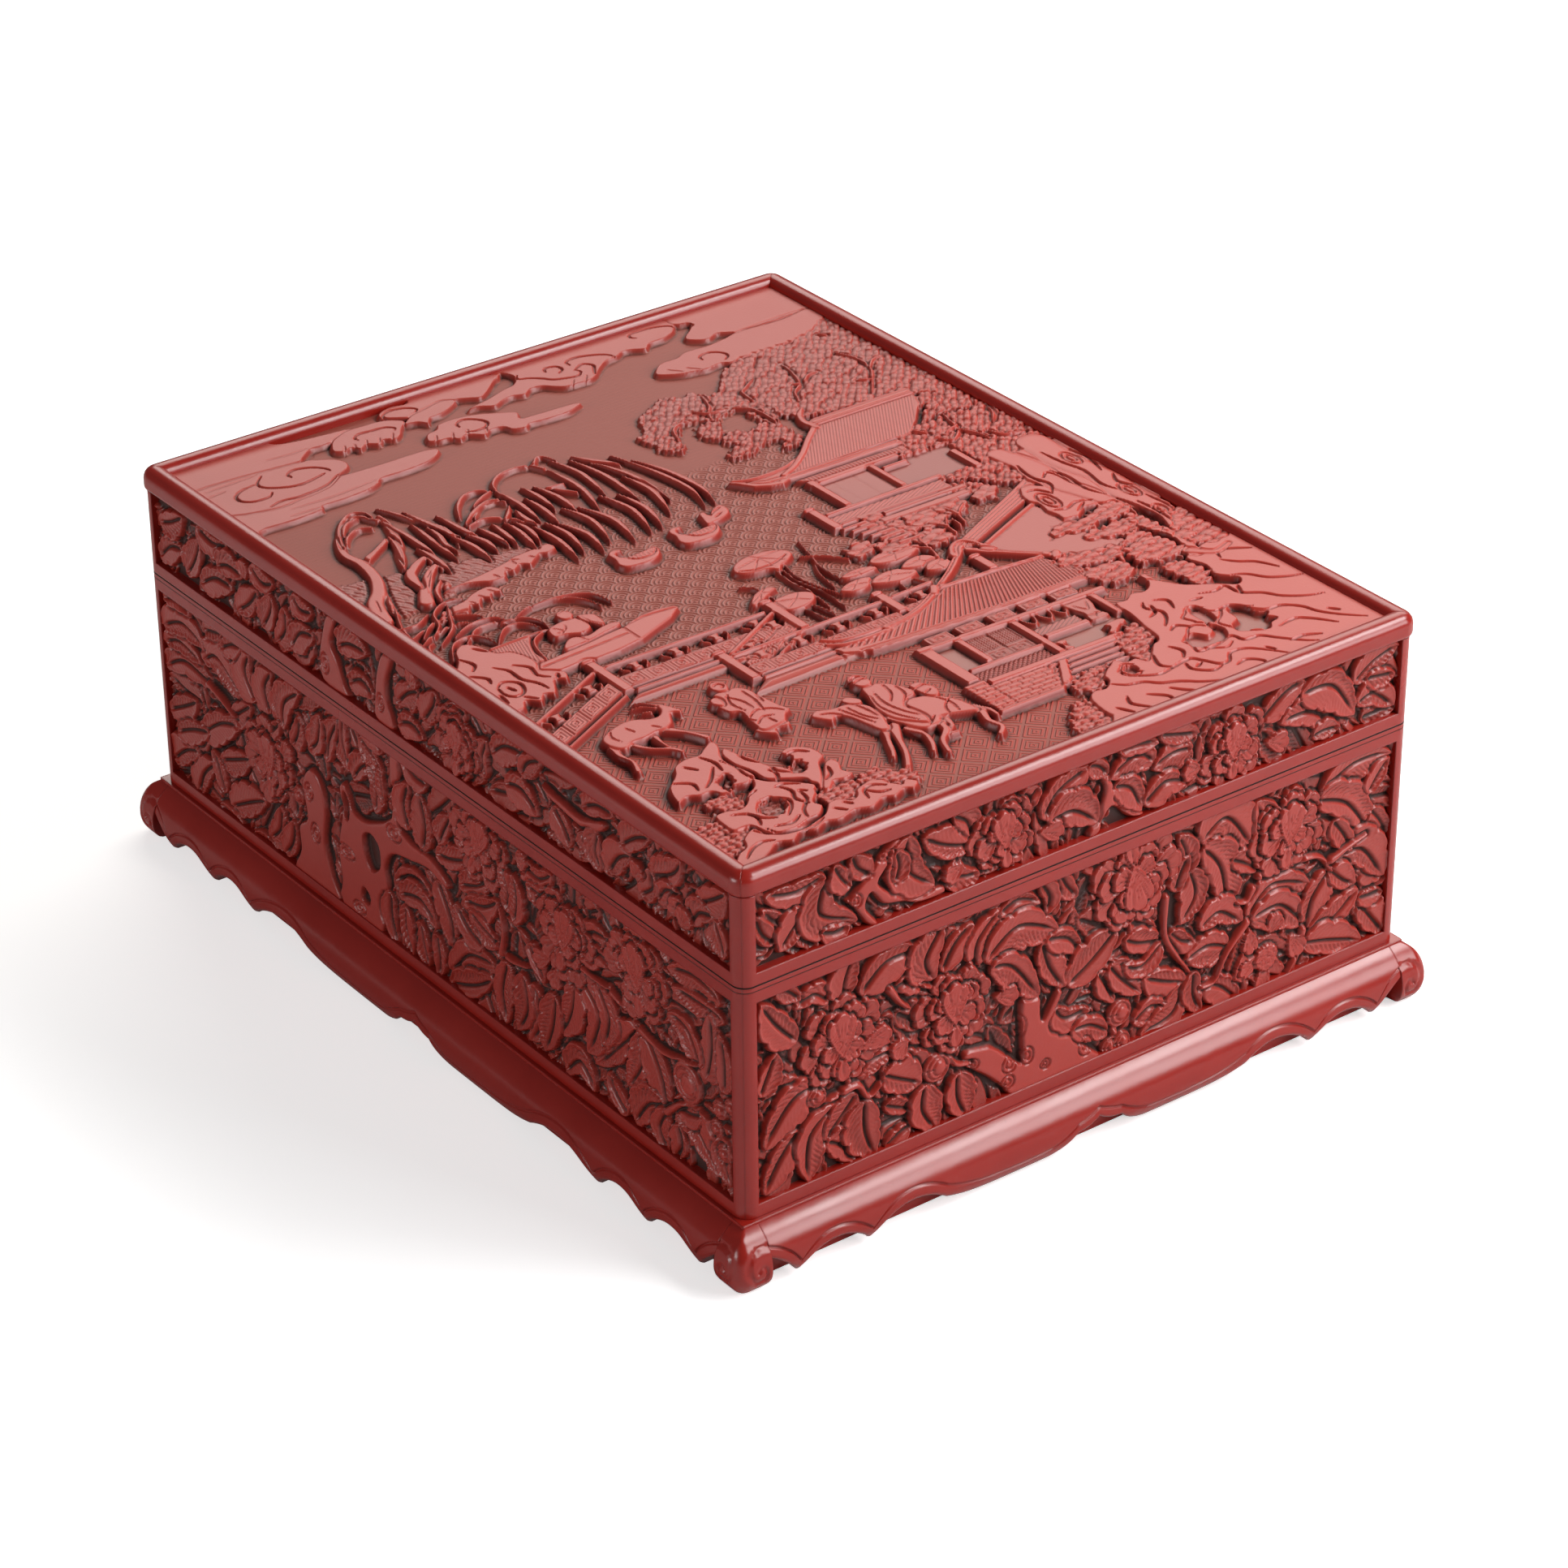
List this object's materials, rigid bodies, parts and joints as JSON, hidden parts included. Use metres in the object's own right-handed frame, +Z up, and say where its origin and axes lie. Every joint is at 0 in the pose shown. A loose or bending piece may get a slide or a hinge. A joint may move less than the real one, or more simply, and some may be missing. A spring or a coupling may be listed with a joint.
{
  "type": "carved lacquer box",
  "caption": "Rectangular red lacquer box with a lift-off cover, a landscape carved on top, flowers carved round the sides, a bead rim and a cusped plinth with scroll feet.",
  "frame": {"origin": "centre of the footprint on the ground, under the four feet", "axes": "+X along the short side to the right, +Y along the long side to the back, +Z up"},
  "size_m": [0.312, 0.392, 0.1555],
  "materials": {
    "red_lacquer": "polished cinnabar lacquer",
    "carved_lacquer": "carved cinnabar lacquer, dark in the recesses",
    "black_lacquer": "plain black lacquer",
    "core_wood": "plain softwood under the lacquer"
  },
  "bodies": {
    "box": {"apron_front": "red_lacquer", "apron_right": "red_lacquer", "apron_back": "red_lacquer", "apron_left": "red_lacquer", "foot_front_right": "red_lacquer", "foot_back_right": "red_lacquer", "foot_back_left": "red_lacquer", "foot_front_left": "red_lacquer", "base_rail_front": "red_lacquer", "base_rail_right": "red_lacquer", "base_rail_back": "red_lacquer", "base_rail_left": "red_lacquer", "floor_board": "core_wood", "underside_lacquer": "black_lacquer", "box_lining": "black_lacquer", "front_board": "core_wood", "right_board": "core_wood", "back_board": "core_wood", "left_board": "core_wood", "front_lacquer": "red_lacquer", "right_lacquer": "red_lacquer", "back_lacquer": "red_lacquer", "left_lacquer": "red_lacquer", "front_carving": "carved_lacquer", "right_carving": "carved_lacquer", "back_carving": "carved_lacquer", "left_carving": "carved_lacquer", "lip_front": "black_lacquer", "lip_right": "black_lacquer", "lip_back": "black_lacquer", "lip_left": "black_lacquer"},
    "cover": {"cover_top_board": "core_wood", "lid_ground": "carved_lacquer", "lid_carving": "carved_lacquer", "cover_lining": "black_lacquer", "cover_front_board": "core_wood", "cover_right_board": "core_wood", "cover_back_board": "core_wood", "cover_left_board": "core_wood", "cover_front_lacquer": "red_lacquer", "cover_right_lacquer": "red_lacquer", "cover_back_lacquer": "red_lacquer", "cover_left_lacquer": "red_lacquer", "cover_front_carving": "carved_lacquer", "cover_right_carving": "carved_lacquer", "cover_back_carving": "carved_lacquer", "cover_left_carving": "carved_lacquer", "rim_front": "red_lacquer", "rim_right": "red_lacquer", "rim_back": "red_lacquer", "rim_left": "red_lacquer"}
  },
  "joints": [
    {"name": "cover_lift", "type": "slide", "parent": "box", "child": "cover", "axis": [0, 0, 1], "range_m": [0, 0.15]}
  ]
}
